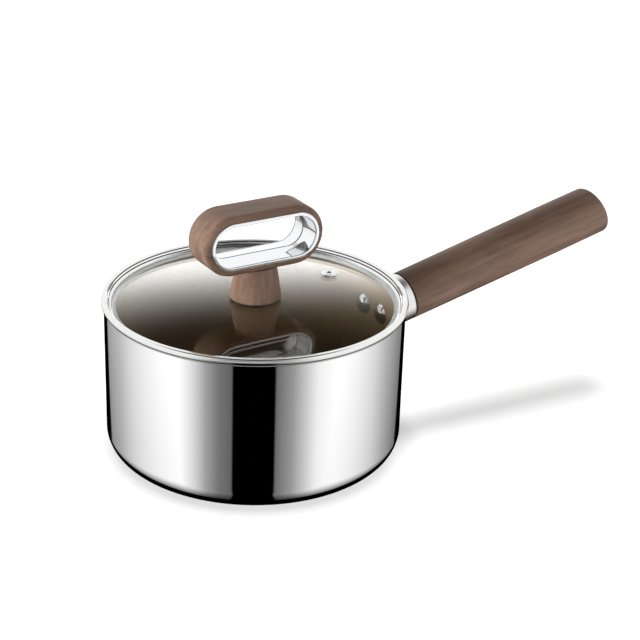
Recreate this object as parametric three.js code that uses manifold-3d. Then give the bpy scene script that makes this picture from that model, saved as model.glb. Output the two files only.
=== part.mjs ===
// A saucepan of clad stainless steel with a low glass lid, a loop knob and a long wooden handle.
// Millimetres, +Z up. The origin is the centre of the flat underside, and the handle runs along +X.
import * as THREE from "three";
import { mergeVertices } from "three/addons/utils/BufferGeometryUtils.js";
import Module from "manifold-3d";

const wasm = await Module();
wasm.setup();

// Driving sizes of the pan
const panInnerRadius = 80;
const panHeight = 86.2;
const panCornerRadius = 13;
const shellThickness = 0.5;
const coreThickness = 1.3;
const linerThickness = 0.5;
const layerGap = 0.05;

// Driving sizes of the handle and its fixing
const handleRise = THREE.MathUtils.degToRad(10.8);
const handleDrop = 23.2;
const wallGap = 0.3;
const plateThickness = 2.5;
const studRadius = 3;
const bossWall = 2;
const rivetToBoss = 1.15;
const rivetDrop = 1.45;
const rivetShankRadius = 2.2;
const rivetHeadRadius = 6.1;
const rivetHeadHeight = 3;
const rivetTailRadius = 2.7;
const rivetTailHeight = 1.4;
const rivetHoleGap = 0.2;
const ferruleLength = 18.9;
const ferruleWall = 1;
const ferruleEndWall = 1.6;
const ferruleGap = 0.3;
const ferruleRoom = 1.15;
const gripGasketThickness = 0.8;
const gripGasketInset = 0.35;
const gripLength = 149.8;
const gripProud = 0.15;
const gripFarRadius = 15.2;
const gripEndRound = 3.5;
const gripEndCrown = 1;
const gripEndSlant = 6.1;
const gripSlantLength = 40;
const gripInsertLength = 22;
const gripInsertWall = 2;
const studGrip = 9;
const studEndRoom = 2;

// Driving sizes of the lid
const lidTurn = THREE.MathUtils.degToRad(-2.7);
const lidClearance = 0.4;
const seatGap = 0.1;
const bandSheet = 0.6;
const bandBeadHeight = 3.7;
const bandBeadRound = 0.9;
const bandOverhang = 1.4;
const bandCover = 0.6;
const bandLip = 2.3;
const glassThickness = 3.5;
const glassRise = 2.55;
const glassDrop = 4.3;
const glassGap = 0.1;
const ventInset = 22.4;
const ventAngle = THREE.MathUtils.degToRad(12.6);
const ventBoreRadius = 1.35;
const ventTubeWall = 0.6;
const ventFlangeRadius = 4.75;
const ventFlangeThickness = 0.9;
const ventRingRadius = 4;
const ventRingThickness = 0.6;

// Driving sizes of the knob and its fixing
const stemBaseRadius = 14.3;
const stemTopRadius = 11.6;
const stemHeight = 18.45;
const stemFootRound = 0.6;
const stemInset = 0.6;
const stemWeb = 2.5;
const loopLength = 72.2;
const loopHeight = 33.65;
const loopDepth = 21.9;
const loopEdgeRound = 2.5;
const loopMargin = 3.55;
const bezelLand = 1;
const bezelThickness = 0.7;
const bezelRound = 0.35;
const trimWall = 0.9;
const throatRise = 1.6;
const throatLength = 3;
const knobGasketThickness = 0.6;
const knobGasketInset = 0.5;
const knobScrewRadius = 1.95;
const knobScrewHeadRadius = 4.2;
const knobScrewHeadHeight = 2.2;
const knobScrewEndRoom = 1;
const knobInsertLength = 8;
const knobInsertWall = 1.2;
const knobWasherRadius = 6;
const knobWasherThickness = 0.8;
const underGasketRadius = 7;
const underGasketThickness = 0.8;
const glassHoleGap = 1.2;
const loopScrewRadius = 1.6;
const loopScrewHeadRadius = 3;
const loopScrewHeadHeight = 1.4;

// Clearances between pieces that fit together
const fitGap = 0.15;
const faceGap = 0.1;

// How finely round forms are cut
const wideSides = 96;
const middleSides = 32;
const smallSides = 16;
const cornerSteps = 3;
const domeSteps = 5;
const wallCutSides = 144;

// Finishes
function finish(color, roughness, metalness) {
  return new THREE.MeshStandardMaterial({ color, roughness, metalness });
}
const polishedSteel = finish("#c9cacb", 0.06, 1);
const brownCoating = finish("#4c4230", 0.35, 0.2);
const aluminium = finish("#b8babc", 0.4, 1);
const chrome = finish("#dfe2e4", 0.04, 1);
const walnut = finish("#755a4b", 0.5, 0);
const brass = finish("#b8924a", 0.3, 1);
const zincSteel = finish("#a9acb0", 0.3, 1);
const blackSilicone = finish("#26221f", 0.7, 0);
const clearGlass = finish("#dfe6e3", 0.02, 0);
clearGlass.transparent = true;
clearGlass.opacity = 0.35;

// Sizes that follow from the driving ones: the clad wall, from inside to outside
const linerOuterRadius = panInnerRadius + linerThickness;
const coreOuterRadius = linerOuterRadius + layerGap + coreThickness;
const panOuterRadius = coreOuterRadius + layerGap + shellThickness;
const coreBottom = shellThickness + layerGap;
const linerBottom = coreBottom + coreThickness + layerGap;
const skinTop = panHeight - linerThickness - layerGap;

// The handle's fixing: rivets stand beside the boss, and the ferrule clears their tails
const handleHeight = panHeight - handleDrop;
const plateInnerRadius = panOuterRadius + wallGap;
const plateOuterRadius = plateInnerRadius + plateThickness;
const bossRadius = studRadius + bossWall;
const rivetOffset = bossRadius + rivetToBoss + rivetTailRadius;
const rivetAngle = Math.asin(rivetOffset / panOuterRadius);
const rivetTailEnd = plateOuterRadius + faceGap + rivetTailHeight;
const rivetReach = Math.hypot(rivetTailEnd * Math.sin(rivetAngle), rivetDrop) + rivetTailRadius;
const ferruleBore = rivetReach + ferruleRoom;
const ferruleRadius = ferruleBore + ferruleWall;
const ferruleInnerEnd = ferruleLength - ferruleEndWall;
const bossEnd = ferruleInnerEnd - ferruleGap;
const studBoreRadius = studRadius + fitGap;
const studStart = bossEnd - studGrip;
const gripStart = ferruleLength + gripGasketThickness + 2 * faceGap;
const gripNearRadius = ferruleRadius + gripProud;
const gripInsertRadius = studBoreRadius + gripInsertWall;
const studEnd = gripStart + gripInsertLength;

// The lid's levels: the bead stands on the pan's rim, and the glass rises from its edge to its middle
const seatLevel = panHeight + seatGap;
const bandTop = seatLevel + bandBeadHeight;
const glassEdge = bandTop - glassDrop;
const glassTop = glassEdge + glassRise;
const glassBottom = glassTop - glassThickness;
const lipTop = glassEdge - glassThickness - glassGap;
const skirtOuterRadius = panInnerRadius - lidClearance;
const skirtInnerRadius = skirtOuterRadius - bandSheet;
const bandOuterRadius = panOuterRadius + bandOverhang;
const bandInnerRadius = skirtInnerRadius - bandCover;
const glassRadius = skirtInnerRadius - glassGap;
const glassCurve = (glassRadius ** 2 + glassRise ** 2) / (2 * glassRise);
const ventOffset = bandInnerRadius - ventInset;
const ventTilt = Math.asin(ventOffset / glassCurve);
const ventTubeRadius = ventBoreRadius + ventTubeWall;
const ventHoleRadius = ventTubeRadius + fitGap;

// The knob's levels and radii
const stemBase = glassTop + knobGasketThickness + 2 * faceGap;
const stemTop = stemBase + stemHeight;
const loopRadius = loopHeight / 2;
const loopHalfStraight = loopLength / 2 - loopRadius;
const loopCentre = stemTop + faceGap + loopRadius;
const bezelRadius = loopRadius - loopMargin;
const trimRadius = bezelRadius - bezelLand;
const loopHoleRadius = trimRadius + fitGap;
const mouthRadius = trimRadius - trimWall;
const throatRadius = mouthRadius - throatRise;
const knobInsertBore = knobScrewRadius + fitGap;
const knobInsertRadius = knobInsertBore + knobInsertWall;
const underGasketBottom = glassBottom - faceGap - underGasketThickness;
const washerBottom = underGasketBottom - faceGap - knobWasherThickness;
const loopScrewGrip = stemHeight - knobInsertLength - stemWeb;

const point = (x, y) => new THREE.Vector2(x, y);

// Points of a round corner, from one angle to another in degrees
function corner(x, y, radius, from, to, steps = cornerSteps) {
  return Array.from({ length: steps + 1 }, (_, i) => {
    const angle = THREE.MathUtils.degToRad(from + ((to - from) * i) / steps);
    return point(x + radius * Math.cos(angle), y + radius * Math.sin(angle));
  });
}

// A turned form about +Z, from a profile of radius and height
function turned(profile, sides) {
  return new THREE.LatheGeometry(profile, sides).rotateX(Math.PI / 2);
}

// The same about +X, for pieces on the handle's line
function turnedAlongX(profile, sides) {
  return new THREE.LatheGeometry(profile, sides).rotateZ(-Math.PI / 2);
}

// A flat ring or tube about +Z, between two radii and two heights
function ring(innerRadius, outerRadius, low, high, sides) {
  const profile = [
    point(innerRadius, low),
    point(outerRadius, low),
    point(outerRadius, high),
    point(innerRadius, high),
    point(innerRadius, low),
  ];
  return turned(profile, sides);
}

// A racetrack ring about +Y: a turned ring whose two halves are drawn apart along X.
// Its flats, and so its straight bars, lie at the profile's radii.
function racetrack(profile, halfStraight, sides) {
  const grow = 1 / Math.cos(Math.PI / sides);
  const geometry = new THREE.LatheGeometry(profile, sides, Math.PI / sides).scale(grow, 1, grow);
  const position = geometry.getAttribute("position");
  for (let i = 0; i < position.count; i++) {
    const x = position.getX(i);
    position.setX(i, x + Math.sign(x) * halfStraight);
  }
  return geometry;
}

// A geometry as a solid for cutting, with only its positions kept and shared vertices merged
function solidOf(geometry) {
  const bare = geometry.clone();
  bare.deleteAttribute("normal");
  bare.deleteAttribute("uv");
  const merged = mergeVertices(bare, 1e-4);
  const vertProperties = new Float32Array(merged.getAttribute("position").array);
  const triVerts = new Uint32Array(merged.index.array);
  return new wasm.Manifold(new wasm.Mesh({ numProp: 3, vertProperties, triVerts }));
}

// A solid as a geometry again
function geometryOf(solid) {
  const mesh = solid.getMesh();
  const geometry = new THREE.BufferGeometry();
  geometry.setAttribute("position", new THREE.BufferAttribute(mesh.vertProperties, 3));
  geometry.setIndex(new THREE.BufferAttribute(mesh.triVerts, 1));
  geometry.computeVertexNormals();
  return geometry;
}

// A geometry with others cut out of it
function cut(geometry, ...tools) {
  return geometryOf(tools.reduce((solid, tool) => solid.subtract(solidOf(tool)), solidOf(geometry)));
}

// A cylinder along +Z for cutting a hole between two heights
function holeCutter(radius, low, high) {
  const height = high - low;
  return new THREE.CylinderGeometry(radius, radius, height, smallSides)
    .rotateX(Math.PI / 2)
    .translate(0, 0, low + height / 2);
}

function mesh(name, geometry, material) {
  const piece = new THREE.Mesh(geometry, material);
  piece.name = name;
  return piece;
}

// The frame of the handle: its origin on the pan's outer wall, its X axis along the grip
const handleFrame = new THREE.Matrix4()
  .makeTranslation(panOuterRadius, 0, handleHeight)
  .multiply(new THREE.Matrix4().makeRotationY(-handleRise));

// The frame of one rivet: its X axis runs out through the wall, a little below the handle's line
function rivetFrame(side) {
  return new THREE.Matrix4()
    .makeTranslation(0, 0, handleHeight - rivetDrop)
    .multiply(new THREE.Matrix4().makeRotationZ(side * rivetAngle));
}

// Cutters for the two rivet holes, long enough for the wall and the bracket's plate
function rivetHoles() {
  const radius = rivetShankRadius + rivetHoleGap;
  const start = panInnerRadius - rivetHeadHeight;
  const length = rivetTailEnd - start;
  return [1, -1].map((side) =>
    new THREE.CylinderGeometry(radius, radius, length, smallSides)
      .rotateZ(-Math.PI / 2)
      .translate(start + length / 2, 0, 0)
      .applyMatrix4(rivetFrame(side)),
  );
}

// One sheet of the clad pan: flat base, round corner and straight wall, of even thickness
function sheetProfile(outerRadius, bottom, thickness, rim) {
  const round = panCornerRadius - (panOuterRadius - outerRadius);
  const centre = outerRadius - round;
  return [
    point(0, bottom),
    ...corner(centre, bottom + round, round, -90, 0),
    ...rim,
    ...corner(centre, bottom + round, round - thickness, 0, -90),
    point(0, bottom + thickness),
  ];
}

function panShell() {
  const rim = [point(panOuterRadius, skinTop), point(panOuterRadius - shellThickness, skinTop)];
  const sheet = sheetProfile(panOuterRadius, 0, shellThickness, rim);
  return cut(turned(sheet, wideSides), ...rivetHoles());
}

function panCore() {
  const rim = [point(coreOuterRadius, skinTop), point(coreOuterRadius - coreThickness, skinTop)];
  const sheet = sheetProfile(coreOuterRadius, coreBottom, coreThickness, rim);
  return cut(turned(sheet, wideSides), ...rivetHoles());
}

// The inner sheet turns outwards at the top and covers the edges of the other two
function panLiner() {
  const rim = [
    point(linerOuterRadius, panHeight - linerThickness),
    point(panOuterRadius, panHeight - linerThickness),
    point(panOuterRadius, panHeight),
    point(panInnerRadius, panHeight),
  ];
  const sheet = sheetProfile(linerOuterRadius, linerBottom, linerThickness, rim);
  return cut(turned(sheet, wideSides), ...rivetHoles());
}

// Domed head inside the pan, shank through the wall and a formed tail behind the bracket's plate
function rivet() {
  const flatRadius = panInnerRadius * Math.cos(Math.PI / wideSides);
  const headBack = Math.sqrt(flatRadius ** 2 - rivetHeadRadius ** 2) - faceGap;
  const domeRadius = (rivetHeadRadius ** 2 + rivetHeadHeight ** 2) / (2 * rivetHeadHeight);
  const domeCentre = headBack - rivetHeadHeight + domeRadius;
  const edge = THREE.MathUtils.radToDeg(Math.acos((domeCentre - headBack) / domeRadius));
  const tailBack = plateOuterRadius + faceGap;
  const dome = corner(0, domeCentre, domeRadius, -90, edge - 90, 4);
  dome[0].x = 0;
  const profile = [
    ...dome,
    point(rivetShankRadius, headBack),
    point(rivetShankRadius, tailBack),
    point(rivetTailRadius, tailBack),
    point(rivetTailRadius, rivetTailEnd),
    point(0, rivetTailEnd),
  ];
  return turnedAlongX(profile, smallSides);
}

// A saddle plate on the wall with a boss for the stud, drilled for the two rivets
function handleBracket() {
  const plateRadius = ferruleBore - ferruleGap;
  const alongHandle = (radius, start, end) =>
    new THREE.CylinderGeometry(radius, radius, end - start, middleSides)
      .rotateZ(-Math.PI / 2)
      .translate((start + end) / 2, 0, 0)
      .applyMatrix4(handleFrame);
  const wallBand = ring(
    plateInnerRadius,
    plateOuterRadius,
    handleHeight - 2 * plateRadius,
    handleHeight + 2 * plateRadius,
    wallCutSides,
  );
  const plate = solidOf(wallBand).intersect(solidOf(alongHandle(plateRadius, -plateRadius, bossEnd)));
  const boss = solidOf(alongHandle(bossRadius, 0, bossEnd)).subtract(solidOf(panWallCutter()));
  const cutters = [alongHandle(studBoreRadius, studStart, bossEnd + fitGap), ...rivetHoles()];
  return geometryOf(cutters.reduce((solid, tool) => solid.subtract(solidOf(tool)), plate.add(boss)));
}

// The pan's outside with the handle's clearance, for fitting pieces to the wall
function panWallCutter() {
  return new THREE.CylinderGeometry(plateInnerRadius, plateInnerRadius, 2 * panHeight, wallCutSides)
    .rotateX(Math.PI / 2)
    .translate(0, 0, panHeight);
}

// A polished cup that covers the bracket and is trimmed to the pan's wall
function handleFerrule() {
  const studHole = studRadius + ferruleGap;
  const profile = [
    point(ferruleRadius, -ferruleRadius),
    point(ferruleRadius, ferruleLength),
    point(studHole, ferruleLength),
    point(studHole, ferruleInnerEnd),
    point(ferruleBore, ferruleInnerEnd),
    point(ferruleBore, -ferruleRadius),
    point(ferruleRadius, -ferruleRadius),
  ];
  return cut(turnedAlongX(profile, middleSides).applyMatrix4(handleFrame), panWallCutter());
}

function handleStud() {
  const start = studStart + fitGap;
  const profile = [
    point(0, start),
    point(studRadius, start),
    point(studRadius, studEnd),
    point(0, studEnd),
  ];
  return turnedAlongX(profile, smallSides);
}

// A tube along the handle's line, for the gasket and the threaded insert
function handleTube(innerRadius, outerRadius, start, end, sides) {
  const profile = [
    point(innerRadius, start),
    point(outerRadius, start),
    point(outerRadius, end),
    point(innerRadius, end),
    point(innerRadius, start),
  ];
  return turnedAlongX(profile, sides);
}

// The tapered grip, bored for its insert, with a domed end that is longer below than above
function handleGrip() {
  const end = gripStart + gripLength;
  const boreRadius = gripInsertRadius + fitGap;
  const boreEnd = gripStart + gripInsertLength + studEndRoom;
  const roundCentre = end - gripEndCrown - gripEndRound;
  const dome = corner(gripFarRadius - gripEndRound, roundCentre, gripEndRound, 0, 70);
  const last = dome[dome.length - 1];
  const profile = [
    point(0, boreEnd),
    point(boreRadius, boreEnd),
    point(boreRadius, gripStart),
    point(gripNearRadius, gripStart),
    ...[0.33, 0.67].map((t) =>
      point(
        THREE.MathUtils.lerp(gripNearRadius, gripFarRadius, t),
        THREE.MathUtils.lerp(gripStart, end - gripSlantLength, t),
      ),
    ),
    point(gripFarRadius, end - gripSlantLength),
    ...dome,
    point(last.x / 2, (last.y + 3 * end) / 4),
    point(0, end),
  ];
  const geometry = turnedAlongX(profile, middleSides);
  const position = geometry.getAttribute("position");
  const slantStart = end - gripSlantLength;
  for (let i = 0; i < position.count; i++) {
    const x = position.getX(i);
    const share = THREE.MathUtils.clamp((x - slantStart) / gripSlantLength, 0, 1);
    position.setX(i, x - (share * gripEndSlant * position.getZ(i)) / (2 * gripFarRadius));
  }
  return geometry;
}

// A rolled steel band: tall bead on the pan's rim, edge over the glass, skirt inside the pan, lip below
function lidRimBand() {
  const roundCentre = bandTop - bandBeadRound;
  const lowRound = bandBeadRound / 2;
  const lipBottom = lipTop - bandSheet;
  const lipRadius = skirtInnerRadius - bandLip;
  const coverBottom = glassEdge + glassGap;
  const coverRound = bandSheet / 2;
  const profile = [
    point(lipRadius, lipBottom),
    point(skirtOuterRadius, lipBottom),
    point(skirtOuterRadius, seatLevel),
    ...corner(bandOuterRadius - lowRound, seatLevel + lowRound, lowRound, -90, 0),
    ...corner(bandOuterRadius - bandBeadRound, roundCentre, bandBeadRound, 0, 90),
    ...corner(skirtInnerRadius + bandBeadRound, roundCentre, bandBeadRound, 90, 180),
    point(skirtInnerRadius, coverBottom + bandSheet),
    ...corner(bandInnerRadius + coverRound, coverBottom + coverRound, coverRound, 90, 270, 2),
    point(skirtInnerRadius, coverBottom),
    point(skirtInnerRadius, lipTop),
    point(lipRadius, lipTop),
    point(lipRadius, lipBottom),
  ];
  return turned(profile, wideSides);
}

// How far the glass has fallen from its middle at a given radius
function glassFall(radius) {
  return glassCurve - Math.sqrt(glassCurve ** 2 - radius ** 2);
}

// Brings a form that is built on the glass's axis to the vent's place, square to the glass there
function atVent(geometry) {
  return geometry
    .translate(0, 0, -glassTop)
    .rotateY(ventTilt)
    .translate(ventOffset, 0, glassTop - glassFall(ventOffset))
    .rotateZ(ventAngle);
}

// A low dome of glass, drilled at its middle for the knob's screw and once for the steam vent
function lidGlass() {
  const hole = knobScrewRadius + glassHoleGap;
  const radii = Array.from({ length: domeSteps + 1 }, (_, i) =>
    THREE.MathUtils.lerp(hole, glassRadius, i / domeSteps),
  );
  const below = radii.map((radius) => point(radius, glassBottom - glassFall(radius)));
  const above = radii.map((radius) => point(radius, glassTop - glassFall(radius))).reverse();
  const dome = turned([...below, ...above, below[0]], wideSides);
  return cut(dome, atVent(holeCutter(ventHoleRadius, glassBottom - 1, glassTop + 1)));
}

// A tube through the glass with a round-edged flange on top
function ventEyelet() {
  const flangeBottom = glassTop + faceGap;
  const flangeTop = flangeBottom + ventFlangeThickness;
  const round = ventFlangeThickness / 2;
  const tubeBottom = glassBottom - faceGap - ventRingThickness;
  const profile = [
    point(ventBoreRadius, tubeBottom),
    point(ventTubeRadius, tubeBottom),
    point(ventTubeRadius, flangeBottom),
    ...corner(ventFlangeRadius - round, flangeBottom + round, round, -90, 90),
    point(ventBoreRadius + round, flangeTop),
    point(ventBoreRadius, flangeTop - round),
    point(ventBoreRadius, tubeBottom),
  ];
  return atVent(turned(profile, smallSides));
}

function ventRing() {
  const top = glassBottom - faceGap;
  return atVent(ring(ventHoleRadius, ventRingRadius, top - ventRingThickness, top, smallSides));
}

// A pan-head screw from below the glass up into the stem's insert
function knobScrew() {
  const headTop = washerBottom - faceGap;
  const headBottom = headTop - knobScrewHeadHeight;
  const round = knobScrewHeadHeight / 2;
  const end = stemBase + faceGap + knobInsertLength - knobScrewEndRoom;
  const profile = [
    point(0, headBottom),
    ...corner(knobScrewHeadRadius - round, headBottom + round, round, -90, 0),
    point(knobScrewHeadRadius, headTop),
    point(knobScrewRadius, headTop),
    point(knobScrewRadius, end),
    point(0, end),
  ];
  return turned(profile, smallSides);
}

// A round cone that is pinched towards the loop's depth at its top, bored from both ends
function knobStem() {
  const profile = [
    point(0, stemBase),
    ...corner(stemBaseRadius - stemFootRound, stemBase + stemFootRound, stemFootRound, -90, 0),
    point(stemTopRadius, stemTop),
    point(0, stemTop),
  ];
  const cone = turned(profile, middleSides);
  const topPinch = 1 - (loopDepth / 2 - stemInset) / stemTopRadius;
  const position = cone.getAttribute("position");
  for (let i = 0; i < position.count; i++) {
    const share = (position.getZ(i) - stemBase) / stemHeight;
    position.setY(i, position.getY(i) * (1 - topPinch * share));
  }
  const insertBore = holeCutter(
    knobInsertRadius + fitGap,
    stemBase - faceGap,
    stemBase + knobInsertLength + 2 * faceGap,
  );
  const screwBore = holeCutter(
    loopScrewRadius + fitGap,
    stemTop - loopScrewGrip - faceGap,
    stemTop + faceGap,
  );
  return cut(cone, insertBore, screwBore);
}

function knobInsert() {
  const low = stemBase + faceGap;
  return ring(knobInsertBore, knobInsertRadius, low, low + knobInsertLength, smallSides);
}

// A wooden racetrack ring with rounded outer edges, drilled and countersunk in its lower bar
function knobLoop() {
  const half = loopDepth / 2;
  const edge = loopRadius - loopEdgeRound;
  const profile = [
    point(loopHoleRadius, -half),
    ...corner(edge, loopEdgeRound - half, loopEdgeRound, -90, 0),
    ...corner(edge, half - loopEdgeRound, loopEdgeRound, 0, 90),
    point(loopHoleRadius, half),
    point(loopHoleRadius, -half),
  ];
  const wood = racetrack(profile, loopHalfStraight, middleSides).translate(0, 0, loopCentre);
  const floor = loopCentre - loopHoleRadius;
  const drill = holeCutter(loopScrewRadius + fitGap, loopCentre - loopRadius - faceGap, floor + faceGap);
  const sink = turned(loopScrewHeadProfile(floor, fitGap), smallSides);
  return cut(wood, drill, sink);
}

// The countersunk head's cone, with room around it where it cuts the wood
function loopScrewHeadProfile(floor, room) {
  const low = floor - loopScrewHeadHeight - room;
  return [
    point(0, low),
    point(loopScrewRadius + room, low),
    point(loopScrewHeadRadius + room, floor - room),
    point(loopScrewHeadRadius + room, floor + room),
    point(0, floor + room),
  ];
}

// A countersunk screw from the loop's lower bar down into the stem
function knobLoopScrew() {
  const floor = loopCentre - loopHoleRadius - faceGap;
  const neck = floor - loopScrewHeadHeight;
  const tip = stemTop - loopScrewGrip;
  const profile = [
    point(0, tip),
    point(loopScrewRadius / 2, tip),
    point(loopScrewRadius, tip + loopScrewRadius),
    point(loopScrewRadius, neck),
    point(loopScrewHeadRadius, floor),
    point(0, floor),
  ];
  return turned(profile, smallSides);
}

// Half of the chrome lining: a flat bezel on the wood's face and a funnel to the throat at mid depth
function knobTrim(side) {
  const face = loopDepth / 2 + faceGap;
  const front = face + bezelThickness;
  const middle = faceGap / 2;
  const funnelEnd = middle + throatLength;
  const outline = [
    point(throatRadius, middle),
    point(throatRadius + trimWall, middle),
    point(trimRadius, funnelEnd),
    point(trimRadius, face),
    point(bezelRadius, face),
    ...corner(bezelRadius - bezelRound, front - bezelRound, bezelRound, 0, 90, 2),
    ...corner(mouthRadius + bezelRound, front - bezelRound, bezelRound, 90, 180, 2),
    point(mouthRadius, funnelEnd + trimWall),
    point(throatRadius, middle),
  ];
  const profile = side > 0 ? outline : outline.map((p) => point(p.x, -p.y)).reverse();
  return racetrack(profile, loopHalfStraight, middleSides).translate(0, 0, loopCentre);
}

const pan = new THREE.Group();
pan.add(mesh("pan_shell", panShell(), polishedSteel));
pan.add(mesh("pan_core", panCore(), aluminium));
pan.add(mesh("pan_liner", panLiner(), brownCoating));
for (const [name, side] of [["left", 1], ["right", -1]]) {
  const piece = mesh(`handle_rivet_${name}`, rivet(), polishedSteel);
  piece.applyMatrix4(rivetFrame(side));
  pan.add(piece);
}
pan.add(mesh("handle_bracket", handleBracket(), zincSteel));
pan.add(mesh("handle_ferrule", handleFerrule(), polishedSteel));

const handle = new THREE.Group();
handle.applyMatrix4(handleFrame);
const gasketRadius = ferruleRadius - gripGasketInset;
const gasketStart = ferruleLength + faceGap;
const gasketEnd = gasketStart + gripGasketThickness;
const gasket = handleTube(studRadius + ferruleGap, gasketRadius, gasketStart, gasketEnd, middleSides);
const insertStart = gripStart + faceGap;
const insertEnd = gripStart + gripInsertLength;
const insert = handleTube(studBoreRadius, gripInsertRadius, insertStart, insertEnd, smallSides);
handle.add(mesh("handle_stud", handleStud(), zincSteel));
handle.add(mesh("handle_gasket", gasket, blackSilicone));
handle.add(mesh("handle_insert", insert, brass));
handle.add(mesh("handle_grip", handleGrip(), walnut));

const lid = new THREE.Group();
lid.rotation.z = lidTurn;
lid.add(mesh("lid_rim_band", lidRimBand(), polishedSteel));
lid.add(mesh("lid_glass", lidGlass(), clearGlass));
lid.add(mesh("vent_eyelet", ventEyelet(), polishedSteel));
lid.add(mesh("vent_ring", ventRing(), polishedSteel));

const knob = new THREE.Group();
const screwHole = knobScrewRadius + fitGap;
const knobGasketRadius = stemBaseRadius - knobGasketInset;
const knobGasketLow = glassTop + faceGap;
const knobGasketHigh = knobGasketLow + knobGasketThickness;
const underGasketTop = underGasketBottom + underGasketThickness;
const washerTop = washerBottom + knobWasherThickness;
const knobGasket = ring(screwHole, knobGasketRadius, knobGasketLow, knobGasketHigh, middleSides);
const underGasket = ring(screwHole, underGasketRadius, underGasketBottom, underGasketTop, smallSides);
const washer = ring(screwHole, knobWasherRadius, washerBottom, washerTop, smallSides);
knob.add(mesh("knob_gasket", knobGasket, blackSilicone));
knob.add(mesh("knob_under_gasket", underGasket, blackSilicone));
knob.add(mesh("knob_washer", washer, zincSteel));
knob.add(mesh("knob_screw", knobScrew(), zincSteel));
knob.add(mesh("knob_insert", knobInsert(), brass));
knob.add(mesh("knob_stem", knobStem(), walnut));
knob.add(mesh("knob_loop", knobLoop(), walnut));
knob.add(mesh("knob_loop_screw", knobLoopScrew(), zincSteel));
knob.add(mesh("knob_trim_front", knobTrim(-1), chrome));
knob.add(mesh("knob_trim_back", knobTrim(1), chrome));
lid.add(knob);

const saucepan = new THREE.Group();
saucepan.add(pan, handle, lid);

export default saucepan;
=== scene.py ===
"""Saucepan with a glass lid, dressed for a studio picture.

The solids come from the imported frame. This file adds the turned, drawn and carved surfaces that the
eye sees, their finishes, and a plain studio. Lengths are metres, +Z is up and the handle runs along +X.
"""

import math

import bmesh
import bpy
import numpy as np
from bpy.props import FloatProperty, FloatVectorProperty, PointerProperty
from bpy.types import Operator, Panel, PropertyGroup
from mathutils import Matrix, Vector


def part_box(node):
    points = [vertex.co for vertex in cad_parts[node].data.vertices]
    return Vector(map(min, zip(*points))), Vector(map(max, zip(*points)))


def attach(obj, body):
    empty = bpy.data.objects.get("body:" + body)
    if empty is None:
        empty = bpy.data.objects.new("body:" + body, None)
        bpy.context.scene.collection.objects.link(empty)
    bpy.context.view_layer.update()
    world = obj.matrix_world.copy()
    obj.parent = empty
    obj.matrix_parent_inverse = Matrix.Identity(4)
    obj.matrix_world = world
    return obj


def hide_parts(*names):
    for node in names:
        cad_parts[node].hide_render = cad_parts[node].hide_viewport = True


bl_info = {
    "name": "Saucepan with glass lid",
    "version": (1, 0, 0),
    "blender": (4, 5, 0),
    "location": "3D View > Sidebar > Saucepan",
    "description": "Builds the visible surfaces and finishes of a lidded saucepan around its solids",
    "category": "Object",
}

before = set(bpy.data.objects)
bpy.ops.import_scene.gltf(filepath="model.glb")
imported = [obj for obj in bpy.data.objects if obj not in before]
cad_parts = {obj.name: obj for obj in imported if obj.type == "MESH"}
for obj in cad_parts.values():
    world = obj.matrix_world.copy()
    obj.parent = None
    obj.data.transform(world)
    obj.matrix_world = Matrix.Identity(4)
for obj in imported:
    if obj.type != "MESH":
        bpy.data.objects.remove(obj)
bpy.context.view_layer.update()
MM = 0.001
FACE_GAP = 0.1 * MM
# Edges that turn by more than this stay sharp
SHARP = math.radians(50)
# Sides of what is turned
PAN_SIDES, LID_SIDES, HANDLE_SIDES, KNOB_SIDES, SMALL_SIDES, BIT_SIDES = 192, 256, 128, 96, 64, 48

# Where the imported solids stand, from which the sizes below start
SHELL_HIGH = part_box("pan_shell")[1]
LINER_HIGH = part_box("pan_liner")[1]
FERRULE_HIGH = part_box("handle_ferrule")[1]
GRIP_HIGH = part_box("handle_grip")[1]
BAND_LOW, BAND_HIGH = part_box("lid_rim_band")
GLASS_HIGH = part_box("lid_glass")[1]
STEM_LOW, STEM_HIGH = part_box("knob_stem")
LOOP_LOW, LOOP_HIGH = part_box("knob_loop")
LOOP_CENTRE = (LOOP_LOW.z + LOOP_HIGH.z) / 2


def linear(hex_colour):
    """An sRGB hex value as linear red, green and blue."""
    srgb = np.array([int(hex_colour[i : i + 2], 16) for i in (1, 3, 5)]) / 255
    return tuple(np.where(srgb <= 0.04045, srgb / 12.92, ((srgb + 0.055) / 1.055) ** 2.4))


def length(name, description, default):
    """A length that a user may change."""
    return FloatProperty(
        name=name, description=description, default=default, min=0, unit="LENGTH", precision=5
    )


def angle(name, description, degrees):
    """An angle that a user may change."""
    return FloatProperty(name=name, description=description, default=math.radians(degrees), subtype="ANGLE")


def level(name, description, default, unit="NONE"):
    """A level of light that a user may change."""
    return FloatProperty(name=name, description=description, default=default, min=0, unit=unit)


def colour(name, description, hex_colour):
    """A colour that a user may change."""
    return FloatVectorProperty(
        name=name, description=description, default=linear(hex_colour), min=0, max=1, subtype="COLOR"
    )


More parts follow.
